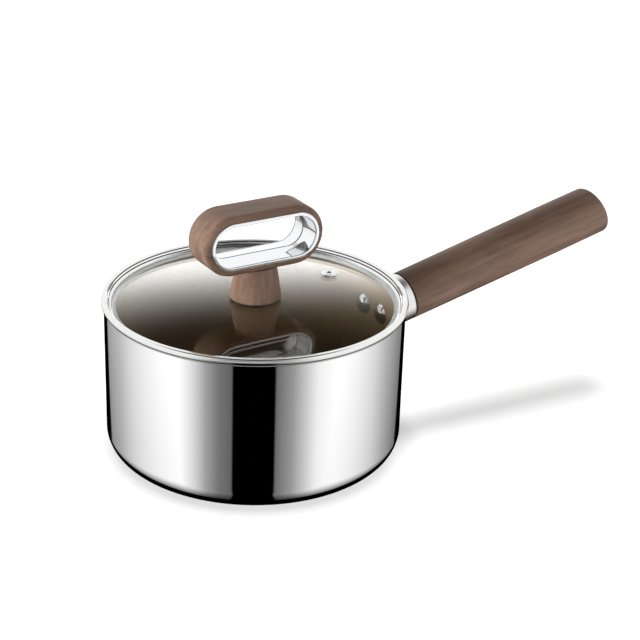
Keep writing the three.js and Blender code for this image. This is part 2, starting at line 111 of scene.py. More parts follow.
class SaucepanPanSizes(PropertyGroup):
    """Sizes of the clad pan and the rivets in its wall"""

    outer_radius: length("Outer radius", "Outside of the wall", SHELL_HIGH.x)
    inner_radius: length("Inner radius", "Inside of the wall", 80 * MM)
    shell_top: length("Shell top", "Upper edge of the outer sheet", SHELL_HIGH.z)
    height: length("Height", "Top of the rim above the floor", LINER_HIGH.z)
    corner_radius: length("Corner radius", "Round between base and wall, outside", 13 * MM)
    sheet: length("Sheet", "Thickness of the outer and the inner steel sheet", 0.5 * MM)
    floor_level: length("Floor level", "Inside floor above the hob", 2.4 * MM)
    bare_rim: length("Bare rim", "Height of the uncoated steel below the rim, inside", 5.6 * MM)
    coating_fade: length("Coating fade", "How far the coating's edge fades, up and down", 0.1 * MM)
    rivet_radius: length("Rivet radius", "Radius of a rivet's head", 6.1 * MM)
    rivet_height: length("Rivet height", "Height of a rivet's dome", 3 * MM)
    rivet_shank: length("Rivet shank", "Radius of a rivet's shank", 2.2 * MM)
    rivet_room: length("Rivet room", "Room between a rivet's head and the wall", 0.15 * MM)
    rivet_tail: length("Rivet tail", "Radius of a rivet's formed tail", 2.7 * MM)
    tail_near: length("Tail's near side", "From the wall's outside to the near side of a tail", 2.9 * MM)
    tail_far: length("Tail's far side", "From the wall's outside to the far side of a tail", 4.3 * MM)
    rivet_offset: length("Rivet offset", "Distance of a rivet from the handle's line", 8.85 * MM)
    rivet_level: length("Rivet level", "Height of the rivets", 61.55 * MM)


class SaucepanHandleSizes(PropertyGroup):
    """Sizes of the ferrule and the grip"""

    rise: angle("Rise", "Slope of the handle", 10.8)
    height: length("Height", "Where the handle's line meets the wall", 63 * MM)
    wall: length("Wall", "Distance of the pan's wall from its axis", SHELL_HIGH.x)
    wall_gap: length("Wall gap", "Room between ferrule and wall", 0.3 * MM)
    ferrule_radius: length("Ferrule radius", "Outside of the polished ferrule", FERRULE_HIGH.y)
    ferrule_length: length("Ferrule length", "Wall to the end of the ferrule", 18.9 * MM)
    ferrule_wall: length("Ferrule wall", "Thickness of the ferrule's tube", 1 * MM)
    ferrule_floor: length("Ferrule floor", "Thickness of the ferrule's end", 1.6 * MM)
    ferrule_edge: length("Ferrule edge", "Round of the ferrule's end", 0.4 * MM)
    stud_hole: length("Stud hole", "Radius of the hole for the stud", 3.3 * MM)
    seal: length("Seal", "Thickness of the seal between ferrule and grip", 0.8 * MM)
    seal_inset: length("Seal inset", "How far the seal stays inside the ferrule", 0.35 * MM)
    grip_length: length("Grip length", "Length of the wooden grip", 149.8 * MM)
    near_radius: length("Near radius", "Radius of the grip at the ferrule", FERRULE_HIGH.y + 0.15 * MM)
    far_radius: length("Far radius", "Radius of the grip at its end", GRIP_HIGH.y)
    near_edge: length("Near edge", "Eased edge of the grip at the ferrule", 0.4 * MM)
    end_round: length("End round", "Round of the grip's end", 3.5 * MM)
    end_crown: length("End crown", "Height of the dome on the grip's end", 1 * MM)
    end_slant: length("End slant", "How much further the end reaches below than above", 6.1 * MM)
    slant_run: length("Slant run", "Length over which the end leans", 40 * MM)
    bore: length("Bore", "Radius of the bore for the insert", 5.3 * MM)
    bore_depth: length("Bore depth", "Depth of the bore for the insert", 24 * MM)


class SaucepanLidSizes(PropertyGroup):
    """Sizes of the lid's band, its glass and its steam vent"""

    turn: angle("Turn", "Turn of the lid about the pan's axis", -2.7)
    outer_radius: length("Outer radius", "Outside of the band's bead", BAND_HIGH.x)
    skirt_radius: length("Skirt radius", "Outside of the skirt in the pan", 79.6 * MM)
    lip_radius: length("Lip radius", "Inside of the lip under the glass", 76.7 * MM)
    sheet: length("Sheet", "Thickness of the band's strip", 0.6 * MM)
    low: length("Low", "Underside of the lip", BAND_LOW.z)
    seat: length("Seat", "Underside of the bead, on the pan's rim", 86.3 * MM)
    top: length("Top", "Crest of the bead", BAND_HIGH.z)
    cover: length("Cover", "Upper side of the band's edge on the glass", 86.4 * MM)
    bead: length("Bead", "Width of the bead's outer round", 1.6 * MM)
    crest: length("Crest", "Width of the flat on top of the bead", 1.2 * MM)
    # Groove also sets the reach of the painted shade in each groove; joint shade is the reach of the painted
    # dark line where bead and rim meet
    groove: length("Groove", "Radius of the two rolled grooves", 0.3 * MM)
    joint_shade: length("Joint shade", "Dark line where bead and rim meet, up and down", 0.35 * MM)
    glass_radius: length("Glass radius", "Edge of the glass", 78.9 * MM)
    glass_top: length("Glass top", "Middle of the glass, upper face", GLASS_HIGH.z)
    glass_rise: length("Glass rise", "Height of the glass's low dome", 2.55 * MM)
    glass_sheet: length("Glass sheet", "Thickness of the glass", 3.5 * MM)
    glass_edge: length("Glass edge", "Eased edge of the glass", 0.3 * MM)
    glass_seat: length("Glass seat", "How far the ground seat shows inside the lip", 1 * MM)
    glass_hole: length("Glass hole", "Radius of the hole for the knob's screw", 3.15 * MM)
    vent_offset: length("Vent offset", "Distance of the vent from the axis", 56 * MM)
    vent_angle: angle("Vent angle", "Vent's place, from the knob's line", 12.6)
    vent_flange: length("Vent flange", "Radius of the eyelet's flange", 4.75 * MM)
    vent_step: length("Vent step", "Radius of the eyelet's raised middle", 3.1 * MM)
    vent_height: length("Vent height", "Height of the eyelet on the glass", 0.9 * MM)
    vent_edge: length("Vent edge", "Round of the flange's edge", 0.3 * MM)
    vent_step_edge: length("Vent step's edge", "Round of the raised middle's edge", 0.2 * MM)
    vent_mouth: length("Vent mouth", "Round of the steam hole's mouth", 0.45 * MM)
    vent_tube: length("Vent tube", "Radius of the eyelet's tube", 1.95 * MM)
    vent_bore: length("Vent bore", "Radius of the steam hole", 1.35 * MM)
    vent_hole: length("Vent hole", "Radius of the hole in the glass", 2.1 * MM)
    vent_below: length("Vent below", "How far the tube stands out below the glass", 0.7 * MM)


class SaucepanKnobSizes(PropertyGroup):
    """Sizes of the knob's stem, loop and lining"""

    stem_base: length("Stem base", "Radius of the stem on the lid", 14.3 * MM)
    stem_top: length("Stem top", "Radius of the stem under the loop", 11.6 * MM)
    stem_foot: length("Stem foot", "Round of the stem's foot", 0.6 * MM)
    stem_inset: length("Stem inset", "How far the stem's top stays inside the loop's faces", 0.6 * MM)
    seal: length("Seal", "Thickness of the seal under the stem", 0.6 * MM)
    seal_inset: length("Seal inset", "How far the seal stays inside the stem", 0.5 * MM)
    seal_hole: length("Seal hole", "Radius of the seal's hole", 2.1 * MM)
    loop_length: length("Loop length", "Length of the loop", 72.2 * MM)
    loop_height: length("Loop height", "Height of the loop", 33.65 * MM)
    loop_depth: length("Loop depth", "Depth of the loop's wood", 21.9 * MM)
    edge_round: length("Edge round", "Round of the loop's outer edges", 2.5 * MM)
    margin: length("Margin", "Wood that shows around the lining", 3.55 * MM)
    hole_inset: length("Hole inset", "From the bezel's rim to the hole in the wood", 0.85 * MM)
    land: length("Land", "From the bezel's rim to the lining's sleeve", 1 * MM)
    bezel: length("Bezel", "Thickness of the bezel on the wood", 0.7 * MM)
    bezel_round: length("Bezel round", "Round of the bezel's edges", 0.35 * MM)
    lining: length("Lining", "Thickness of the lining's sleeve", 0.9 * MM)
    throat: length("Throat", "Half height of the opening at mid depth", 9.775 * MM)
    throat_run: length("Throat run", "Length of each funnel", 3 * MM)
    # Painted shade in the lining's colour: a line where the funnels meet, and one behind each bezel
    parting: length("Parting", "Dark line where the funnels meet, to the front and back", 0.4 * MM)
    shade_inset: length("Shade inset", "From a bezel's front to the dark line behind it", 0.8 * MM)
    shade: length("Shade", "Dark line behind a bezel, to the front and back", 0.3 * MM)


class SaucepanFinishes(PropertyGroup):
    """Colours of the saucepan"""

    steel: colour("Stainless steel", "Polished steel, face on", "#e3e3e3")
    strip: colour("Stainless strip", "Polished strip and rivets, face on", "#e1e1e0")
    coating: colour("Coating", "Non-stick coating inside", "#a08a68")
    walnut_light: colour("Walnut, light", "Early wood", "#937666")
    walnut_mid: colour("Walnut, middle", "Most of the wood", "#7d6252")
    walnut_dark: colour("Walnut, dark", "Late wood and pores", "#5f483a")
    chrome: colour("Chrome", "Plated lining, face on", "#e6e8ea")
    silicone: colour("Silicone", "Seals", "#2a2522")
    glass: colour("Glass", "Tint of the clear glass", "#fbfdfb")
    aluminium: colour("Aluminium", "Rolled core", "#b8babc")
    zinc: colour("Zinc", "Plated screws and bracket", "#a9acb0")
    brass: colour("Brass", "Turned inserts", "#b8924a")


class SaucepanStageSizes(PropertyGroup):
    """Place of the camera, level of the light and look of the floor"""

    azimuth: angle("Azimuth", "Where the camera stands around the pan", -34.672)
    elevation: angle("Elevation", "How far the camera looks down", 24.235)
    roll: angle("Roll", "Tilt of the camera about its own line", 1.861)
    distance: length("Distance", "Camera to the point it looks at", 906.5 * MM)
    lens: FloatProperty(name="Lens", description="Focal length on a 36 mm frame", default=90, unit="CAMERA")
    target_x: length("Target across", "Point the camera looks at, along the handle", 43.375 * MM)
    target_z: length("Target height", "Point the camera looks at, above the floor", 64.493 * MM)
    walls_turn: angle("Walls' turn", "Turn of the studio walls, to face the camera", 32.1)
    sun: level("Sun", "Level of the light that lays the handle's shadow", 2.6)
    sun_spread: angle("Sun's spread", "Angle across the sun, which softens the shadow", 20)
    left_box: level("Left box", "Power of the soft box at the left", 15, "POWER")
    top_box: level("Top box", "Power of the soft box above the lid", 2.5, "POWER")
    front_box: level("Front box", "Power of the soft box that looks into the pan", 3.6, "POWER")
    paper: colour("Paper", "Paper of the floor", "#eeeeee")
    floor_lift: level("Floor lift", "Lift of the floor to white, as the camera sees it", 0.415)
    # Reach of the painted contact shadow on the floor
    contact: length("Contact", "How near a piece darkens the floor", 18 * MM)


# Surfaces


def arc(across, up, radius, start, end, steps=12):
    """Points of a round: the centre plus the radius times cosine and sine of an angle in degrees.

    The radius may be a pair, across and up, which makes it part of an ellipse.
    """
    t = np.radians(np.linspace(start, end, steps + 1))
    wide, high = np.broadcast_to(radius, 2)
    return np.column_stack((across + wide * np.cos(t), up + high * np.sin(t)))


def full_turn(sides):
    """Even angles all round, in radians."""
    return np.linspace(0, 2 * np.pi, sides, endpoint=False)


def turned(profile, sides):
    """A profile of radius and height carried round +Z: x is radius times cosine, y radius times sine."""
    t = full_turn(sides)
    radius, height = np.asarray(profile, float).T
    return np.stack(
        (np.outer(radius, np.cos(t)), np.outer(radius, np.sin(t)), np.outer(height, np.ones(sides))), -1
    )


def racetrack(profile, half_straight, centre, steps=48, bars=8):
    """A profile of radius and depth carried round a racetrack about +Y.

    Each end is a half circle, x being the half straight plus radius times the sine of an angle and z
    radius times its cosine. The bars between them are straight, at the same radius above and below.
    """
    turn = np.linspace(0, np.pi, steps + 1)
    run = np.linspace(1, -1, bars + 1)[1:-1]
    sine = np.concatenate((np.sin(turn), np.zeros(bars - 1), -np.sin(turn), np.zeros(bars - 1)))
    cosine = np.concatenate((np.cos(turn), -np.ones(bars - 1), -np.cos(turn), np.ones(bars - 1)))
    shift = np.concatenate((np.ones(steps + 1), run, -np.ones(steps + 1), -run)) * half_straight
    radius, depth = np.asarray(profile, float).T
    x = np.outer(radius, sine) + shift
    y = np.outer(depth, np.ones(len(shift)))
    return np.stack((x, y, np.outer(radius, cosine) + centre), -1)


def swung(points, turn, axis="Z"):
    """Points turned about an axis through the origin by an angle in radians."""
    return points @ np.array(Matrix.Rotation(turn, 3, axis)).T


def along_handle(sizes, run, side, rise):
    """Points in the handle's own frame: run along its line, side to +Y and rise square to both."""
    slope = sizes.rise
    x = sizes.wall + run * math.cos(slope) - rise * math.sin(slope)
    z = sizes.height + run * math.sin(slope) + rise * math.cos(slope)
    return np.stack(np.broadcast_arrays(x, side, z), -1)


def round_handle(sizes, radius, run):
    """Radius and run, one row per step of a profile, carried round the handle's line.

    Side is radius times cosine, rise is radius times sine, and the run of a row may change round the line.
    """
    turn = full_turn(HANDLE_SIDES)
    return along_handle(sizes, run, radius * np.cos(turn), radius * np.sin(turn))


def grid_mesh(name, grid, closed):
    """A mesh from a grid of points whose columns close round, and whose rows do where closed is set.

    A row that has shrunk to a point becomes a pole, and faces point outwards.
    """
    rows, columns = grid.shape[:2]
    index = np.arange(rows * columns).reshape(rows, columns)
    poles = np.ptp(grid, axis=1).max(axis=1) < 1e-9
    index[poles] = index[poles][:, :1]
    low = index if closed else index[:-1]
    high = np.roll(index, -1, 0) if closed else index[1:]
    quads = np.stack((low, np.roll(low, -1, 1), np.roll(high, -1, 1), high), -1).reshape(-1, 4)
    used, quads = np.unique(quads, return_inverse=True)
    faces = [tuple(dict.fromkeys(quad)) for quad in quads.reshape(-1, 4).tolist()]
    mesh = bpy.data.meshes.new(name)
    mesh.from_pydata(grid.reshape(-1, 3)[used].tolist(), [], faces)
    solid = bmesh.new()
    solid.from_mesh(mesh)
    inside_out = solid.calc_volume(signed=True) < 0
    solid.free()
    if inside_out:
        mesh.flip_normals()
    mesh.shade_smooth()
    mesh.set_sharp_from_angle(angle=SHARP)
    return mesh


def put_piece(name, grid, closed, material, body, node):
    """Adds a grid of points as a piece that rides on a body and stands for a node of the frame."""
    mesh = grid_mesh(name, grid, closed)
    mesh.materials.append(material)
    piece = bpy.data.objects.new(name, mesh)
    bpy.context.scene.collection.objects.link(piece)
    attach(piece, body)
    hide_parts(node)
    return piece


# Finishes


def feed(node, inputs):
    """Sets a node's inputs: each is a plain value or the socket that feeds it."""
    for name, value in inputs.items():
        if isinstance(value, bpy.types.NodeSocket):
            node.id_data.links.new(value, node.inputs[name])
        else:
            node.inputs[name].default_value = value


def add(tree, kind, inputs=None, stops=None, out=0, **settings):
    """Adds a shader node with its settings and links, and returns one of its outputs. Stops fill a ramp.

    A Mix node's inputs go by number: 0 is the share, 2 and 3 are the levels, 6 and 7 the colours.
    """
    made = tree.nodes.new(f"ShaderNode{kind}")
    for name, value in settings.items():
        setattr(made, name, value)
    feed(made, inputs or {})
    if stops:
        elements = made.color_ramp.elements
        while len(elements) < len(stops):
            elements.new(1)
        for element, (position, value) in zip(elements, stops):
            element.position = position
            element.color = (*value, 1)[:4] if np.ndim(value) else (value, value, value, 1)
    return made.outputs[out] if made.outputs else None


def new_finish(name):
    """A material with one Principled surface, with its tree, its surface and its Object coordinates."""
    material = bpy.data.materials.new(name)
    material.use_nodes = True
    tree = material.node_tree
    return material, tree, tree.nodes["Principled BSDF"], add(tree, "TexCoord", out="Object")


def opaque(rgb, share=1):
    """A colour at a share of its level, with full opacity."""
    return (*(min(1, share * value) for value in rgb), 1)


def uneven_gloss(tree, place, scale, detail, least, most):
    """Roughness that drifts from least to most with a noise, whose middle fills the whole range."""
    noise = add(tree, "TexNoise", {"Vector": place, "Scale": scale, "Detail": detail})
    spread = {"Value": noise, "From Min": 0.3, "From Max": 0.7, "To Min": least, "To Max": most}
    return add(tree, "MapRange", spread)


def about_axis(tree, place):
    """Radius about +Z, which is the length of X and Y together, and height."""
    axes = add(tree, "SeparateXYZ", {"Vector": place}).node.outputs
    flat = add(tree, "CombineXYZ", {"X": axes["X"], "Y": axes["Y"]})
    return add(tree, "VectorMath", {0: flat}, out="Value", operation="LENGTH"), axes["Z"]


def mirror_polished_steel(name, colours):
    """Stainless sheet, buffed to a mirror: sharp reflections, with a faint haze that drifts over them."""
    material, tree, surface, place = new_finish(name)
    # Haze in patches of about 11 mm
    rough = uneven_gloss(tree, place, 90, 4, 0.02, 0.05)
    feed(surface, {"Base Color": opaque(colours.steel), "Metallic": 1, "Roughness": rough})
    return material


def polished_strip(name, colours, least=0.08, most=0.16):
    """Rolled stainless strip, polished in the lathe: softer reflections, dulled unevenly by fine lines.

    least and most bound its roughness.
    """
    material, tree, surface, place = new_finish(name)
    # Lines of about 0.4 mm, coarser than real polish so that they show
    rough = uneven_gloss(tree, place, 2500, 2, least, most)
    feed(surface, {"Base Color": opaque(colours.strip), "Metallic": 1, "Roughness": rough})
    return material


def rolled_band(name, colours, grooves):
    """Polished strip, rolled to a bead: bright, with painted shade in its grooves and under its edge.

    Each line of painted shade is a place and a reach across, and a place and a reach up.
    """
    material, tree, surface, place = new_finish(name)
    radius, height = about_axis(tree, place)
    # Painted shade: where radius and height fall within a line, the base colour drops to a tenth of the
    # strip's
    black = 0
    for across, reach, up, rise in grooves:
        beside = add(tree, "Math", {0: radius, 1: across, 2: reach}, operation="COMPARE")
        level_with = add(tree, "Math", {0: height, 1: up, 2: rise}, operation="COMPARE")
        black = add(tree, "Math", {0: beside, 1: level_with, 2: black}, operation="MULTIPLY_ADD")
    tones = {0: black, 6: opaque(colours.strip), 7: opaque(colours.strip, 0.1)}
    base = add(tree, "Mix", tones, out=2, data_type="RGBA")
    # Lines of about 0.4 mm, coarser than real polish so that they show
    rough = uneven_gloss(tree, place, 2500, 2, 0.1, 0.18)
    feed(surface, {"Base Color": base, "Metallic": 1, "Roughness": rough})
    return material


def coated_steel(name, sizes, colours):
    """Non-stick coating sprayed on steel: satin brown with fine mica, and bare steel above its edge."""
    material, tree, surface, place = new_finish(name)
    height = add(tree, "SeparateXYZ", {"Vector": place}, out="Z")
    edge, fade = sizes.height - sizes.bare_rim, sizes.coating_fade
    bare = add(tree, "MapRange", {"Value": height, "From Min": edge - fade, "From Max": edge + fade})
    # Mica of about 0.6 mm, coarser than real so that it shows
    mica = add(tree, "TexNoise", {"Vector": place, "Scale": 1600, "Detail": 3})
    tones = [(0.4, opaque(colours.coating, 0.86)), (0.62, opaque(colours.coating, 1.16))]
    speckle = add(tree, "ValToRGB", {"Fac": mica}, tones)
    blend = {0: bare, 6: speckle, 7: opaque(colours.strip)}
    base = add(tree, "Mix", blend, out=2, data_type="RGBA")
    rough = add(tree, "MapRange", {"Value": bare, "To Min": 0.5, "To Max": 0.42})
    feed(surface, {"Base Color": base, "Metallic": bare, "Roughness": rough, "Specular IOR Level": 0.25})
    return material


def walnut(name, colours, turn):
    """Walnut, fine sanded and sealed: streaks along the grain, broad figure, dark pores and a satin sheen.

    turn brings the grain's line onto the texture's X axis.
    """
    material, tree, surface, place = new_finish(name)
    grain = add(tree, "Mapping", {"Vector": place, "Rotation": turn})
    # Along and across the grain: streaks 80 by 3 mm, figure 60 by 14 mm, pores 14 by 0.6 mm
    streak_place = add(tree, "Mapping", {"Vector": grain, "Scale": (12, 330, 330)})
    figure_place = add(tree, "Mapping", {"Vector": grain, "Scale": (17, 70, 70)})
    pore_place = add(tree, "Mapping", {"Vector": grain, "Scale": (70, 1700, 1700)})
    streaks = {"Vector": streak_place, "Scale": 1, "Detail": 4, "Roughness": 0.55}
    streak = add(tree, "TexNoise", streaks)
    figures = {"Vector": figure_place, "Scale": 1, "Detail": 3, "Distortion": 0.8}
    figure = add(tree, "TexNoise", figures)
    pores = add(tree, "TexNoise", {"Vector": pore_place, "Scale": 1, "Detail": 2})
    # A little more of the figure than of the streaks
    mixed = add(tree, "Mix", {0: 0.58, 2: streak, 3: figure})
    stops = [(0.33, colours.walnut_dark), (0.5, colours.walnut_mid), (0.69, colours.walnut_light)]
    tone = add(tree, "ValToRGB", {"Fac": mixed}, stops)
    pore = add(tree, "ValToRGB", {"Fac": pores}, [(0.33, 0.8), (0.45, 1.0)])
    pored = {0: 1, 6: tone, 7: pore}
    base = add(tree, "Mix", pored, out=2, data_type="RGBA", blend_type="MULTIPLY")
    rough = add(tree, "MapRange", {"Value": streak, "To Min": 0.46, "To Max": 0.6})
    bump = add(tree, "Bump", {"Height": pore, "Strength": 0.12, "Distance": 0.1 * MM})
    feed(surface, {"Base Color": base, "Roughness": rough, "Normal": bump, "Specular IOR Level": 0.35})
    return material


def chrome_plate(name, colours, turn, lines):
    """Bright chrome on a moulding: a mirror whose slow waves bend what it shows, with painted shade along its
    parting line and behind each bezel.

    turn brings the lining's depth onto the Y axis. Each line of painted shade is a depth from the middle and
    a reach.
    """
    material, tree, surface, place = new_finish(name)
    along = add(tree, "Mapping", {"Vector": place, "Rotation": (0, 0, turn)})
    depth = add(tree, "SeparateXYZ", {"Vector": along}, out="Y")
    depth = add(tree, "Math", {0: depth}, operation="ABSOLUTE")
    # Painted shade: within these lines the base colour drops to 0.12 of the chrome's
    dark = 0
    for middle, reach in lines:
        within = add(tree, "Math", {0: depth, 1: middle, 2: reach}, operation="COMPARE")
        dark = add(tree, "Math", {0: within, 1: dark}, operation="ADD")
    tones = {0: dark, 6: opaque(colours.chrome), 7: opaque(colours.chrome, 0.12)}
    base = add(tree, "Mix", tones, out=2, data_type="RGBA")
    # Waves of about 6 mm
    wave = add(tree, "TexNoise", {"Vector": place, "Scale": 160, "Detail": 1})
    bump = add(tree, "Bump", {"Height": wave, "Strength": 0.15, "Distance": 0.2 * MM})
    feed(surface, {"Base Color": base, "Metallic": 1, "Roughness": 0.04, "Normal": bump})
    return material


def tempered_glass(name, sizes, colours):
    """Clear tempered sheet: a mirror at a low angle, a trace of green, and a pale ground seat at its edge."""
    material, tree, surface, place = new_finish(name)
    radius, height = about_axis(tree, place)
    inner = sizes.lip_radius - sizes.glass_seat
    outside = add(tree, "Math", {0: radius, 1: inner}, operation="GREATER_THAN")
    middle = sizes.glass_top - sizes.glass_rise - sizes.glass_sheet / 2
    below = add(tree, "Math", {0: height, 1: middle}, operation="LESS_THAN")
    seat = add(tree, "Math", {0: outside, 1: below}, operation="MULTIPLY")
    rough = add(tree, "MapRange", {"Value": seat, "To Min": 0, "To Max": 0.5})
    clear = add(tree, "MapRange", {"Value": seat, "To Min": 1, "To Max": 0.15})
    feed(surface, {"Base Color": opaque(colours.glass), "Roughness": rough})
    feed(surface, {"Transmission Weight": clear, "IOR": 1.5})
    return material


def mottled(name, base, metallic, roughness, size):
    """A plain finish whose tone and gloss drift a little, as on moulded rubber and plated or rolled metal.

    roughness gives its least and most, and size is that of the drift.
    """
    material, tree, surface, place = new_finish(name)
    noise = add(tree, "TexNoise", {"Vector": place, "Scale": 1 / size, "Detail": 3})
    tones = [(0.35, opaque(base, 0.85)), (0.65, opaque(base, 1.15))]
    tone = add(tree, "ValToRGB", {"Fac": noise}, tones)
    low, high = roughness
    rough = add(tree, "MapRange", {"Value": noise, "To Min": low, "To Max": high})
    feed(surface, {"Base Color": tone, "Metallic": metallic, "Roughness": rough})
    return material


def black_silicone(name, colours):
    """Moulded silicone: matt black with a soft bloom."""
    return mottled(name, colours.silicone, 0, (0.55, 0.75), 1.1 * MM)


# Pieces


def sheet_profile(outer, bottom, thickness, corner, rim):
    """Flat base, round corner and straight wall of a drawn sheet, out along its outside and back inside.

    A guard row beside each end of the round keeps the flat faces' shading flat.
    """
    centre, guard = outer - corner, 0.5 * MM
    outside = arc(centre, bottom + corner, corner, -90, 0, 24)
    inside = arc(centre, bottom + corner, corner - thickness, 0, -90, 24)
    top = bottom + corner + guard
    base = [(0, bottom), (centre - guard, bottom)]
    floor = [(centre - guard, bottom + thickness), (0, bottom + thickness)]
    return np.vstack((base, outside, [(outer, top)], rim, [(outer - thickness, top)], inside, floor))


class SAUCEPAN_OT_pan(Operator):
    """The two steel sheets of the pan: mirror outside, coated inside with a turned-over rim"""

    bl_idname = "saucepan.pan"
    bl_label = "Pan"

    def execute(self, context):
        sizes, colours = context.scene.saucepan_pan, context.scene.saucepan_finishes
        outer, sheet, top = sizes.outer_radius, sizes.sheet, sizes.shell_top
        rim = [(outer, top), (outer - sheet, top)]
        outside = turned(sheet_profile(outer, 0, sheet, sizes.corner_radius, rim), PAN_SIDES)
        mirror = mirror_polished_steel("mirror_polished_stainless", colours)
        put_piece("polished_outside", outside, False, mirror, "pan", "pan_shell")
        inner = sizes.inner_radius + sheet
        lip, soft = sizes.height, sheet / 2
        rolled = arc(outer - soft, lip - soft, soft, -90, 90)
        eased = arc(sizes.inner_radius + soft, lip - soft, soft, 90, 180, 6)
        rim = np.vstack(([(inner, lip - sheet)], rolled, eased))
        corner = sizes.corner_radius - (outer - inner)
        inside = turned(sheet_profile(inner, sizes.floor_level - sheet, sheet, corner, rim), PAN_SIDES)
        coated = coated_steel("brown_nonstick_on_stainless", sizes, colours)
        put_piece("coated_inside", inside, False, coated, "pan", "pan_liner")
        return {"FINISHED"}


class SAUCEPAN_OT_rivets(Operator):
    """Two domed rivets through the wall"""

    bl_idname = "saucepan.rivets"
    bl_label = "Rivets"

    def execute(self, context):
        sizes, colours = context.scene.saucepan_pan, context.scene.saucepan_finishes
        steel = polished_strip("polished_stainless_rivet", colours)
        head, dome = sizes.rivet_radius, sizes.rivet_height
        shank, tail = sizes.rivet_shank, sizes.rivet_tail
        back = math.sqrt(sizes.inner_radius**2 - head**2) - sizes.rivet_room
        sphere = (head**2 + dome**2) / (2 * dome)
        centre = back - dome + sphere
        edge = math.degrees(math.acos((centre - back) / sphere))
        cap = arc(0, centre, sphere, -90, edge - 90, 16)
        cap[0, 0] = 0
        near, far = sizes.outer_radius + sizes.tail_near, sizes.outer_radius + sizes.tail_far
        stem = [(shank, back), (shank, near), (tail, near), (tail, far), (0, far)]
        # The profile's height runs out along the wall's radius
        points = turned(np.vstack((cap, stem)), SMALL_SIDES)[..., [2, 0, 1]]
        swing = math.asin(sizes.rivet_offset / sizes.outer_radius)
        for side, name in ((1, "left"), (-1, "right")):
            placed = swung(points, side * swing) + np.array((0, 0, sizes.rivet_level))
            put_piece(f"rivet_{name}", placed, False, steel, "pan", f"handle_rivet_{name}")
        return {"FINISHED"}


class SAUCEPAN_OT_ferrule(Operator):
    """The polished ferrule, trimmed to the round wall, and the dark seal at its end"""

    bl_idname = "saucepan.ferrule"
    bl_label = "Ferrule"

    def execute(self, context):
        sizes, colours = context.scene.saucepan_handle, context.scene.saucepan_finishes
        turn = full_turn(HANDLE_SIDES)
        outer, end, soft = sizes.ferrule_radius, sizes.ferrule_length, sizes.ferrule_edge
        bore, floor, hole = outer - sizes.ferrule_wall, end - sizes.ferrule_floor, sizes.stud_hole
        clear = sizes.wall + sizes.wall_gap

        def start(radius):
            """Where a line of the tube meets the wall's cylinder, solved for the run along the handle."""
            across = np.sqrt(clear**2 - (radius * np.cos(turn)) ** 2)
            lifted = radius * np.sin(turn) * math.sin(sizes.rise)
            return (across - sizes.wall + lifted) / math.cos(sizes.rise)

        rounded = arc(outer - soft, end - soft, soft, 0, 90, 6)
        radii = [bore, outer, outer, *rounded[:, 0], hole, hole, bore]
        runs = [start(bore), start(outer), end - 3 * soft, *rounded[:, 1], end, floor, floor]
        rows = np.stack([np.broadcast_to(run, turn.shape) for run in runs])
        tube = round_handle(sizes, np.array(radii)[:, None], rows)
        steel = polished_strip("satin_stainless_ferrule", colours, 0.28, 0.36)
        put_piece("polished_ferrule", tube, True, steel, "pan", "handle_ferrule")
        low, rim = end + FACE_GAP, outer - sizes.seal_inset
        high = low + sizes.seal
        profile = np.array([(hole, low), (rim, low), (rim, high), (hole, high)])
        ring = round_handle(sizes, *profile.T[:, :, None])
        seal = black_silicone("black_silicone_grip_seal", colours)
        put_piece("grip_seal", ring, True, seal, "pan", "handle_gasket")
        return {"FINISHED"}


class SAUCEPAN_OT_grip(Operator):
    """The tapered walnut grip, with a domed end that reaches further below than above"""

    bl_idname = "saucepan.grip"
    bl_label = "Grip"

    def execute(self, context):
        sizes, colours = context.scene.saucepan_handle, context.scene.saucepan_finishes
        begin = sizes.ferrule_length + sizes.seal + 2 * FACE_GAP
        end = begin + sizes.grip_length
        near, far, soft, eased = sizes.near_radius, sizes.far_radius, sizes.end_round, sizes.near_edge
        lean, shoulder = end - sizes.slant_run, end - sizes.end_crown - soft
        edge = arc(near - eased, begin + eased, eased, -90, 0, 6)
        body = np.column_stack((np.linspace(near, far, 12), np.linspace(begin + 3 * eased, lean, 12)))
        tail = np.column_stack((np.full(10, far), np.linspace(lean, shoulder, 12)[1:-1]))
        # The end is a round of 70 degrees, then a cap that falls from its middle with a power of the radius
        dome = arc(far - soft, shoulder, soft, 0, 70, 14)
        rim, drop = dome[-1, 0], end - dome[-1, 1]
        inward = np.linspace(1, 0, 14)[1:]
        cap = np.column_stack((rim * inward, end - drop * inward**3.6))
        bore_end = begin + sizes.bore_depth
        bore = [(0, bore_end), (sizes.bore, bore_end), (sizes.bore, begin)]
        radius, run = np.vstack((bore, edge, body, tail, dome, cap)).T[:, :, None]
        # The end leans: the run is drawn back above the line and out below it, more towards the end
        share = np.clip((run - lean) / sizes.slant_run, 0, 1)
        leaning = run - share * sizes.end_slant * radius * np.sin(full_turn(HANDLE_SIDES)) / (2 * far)
        wood = walnut("walnut_grip", colours, (0, sizes.rise, 0))
        grip = round_handle(sizes, radius, leaning)
        put_piece("walnut_grip", grip, False, wood, "pan", "handle_grip")
        return {"FINISHED"}


# Places of the band's two grooves, as shares of the way from its crest to the glass
GROOVES = (0.27, 0.66)


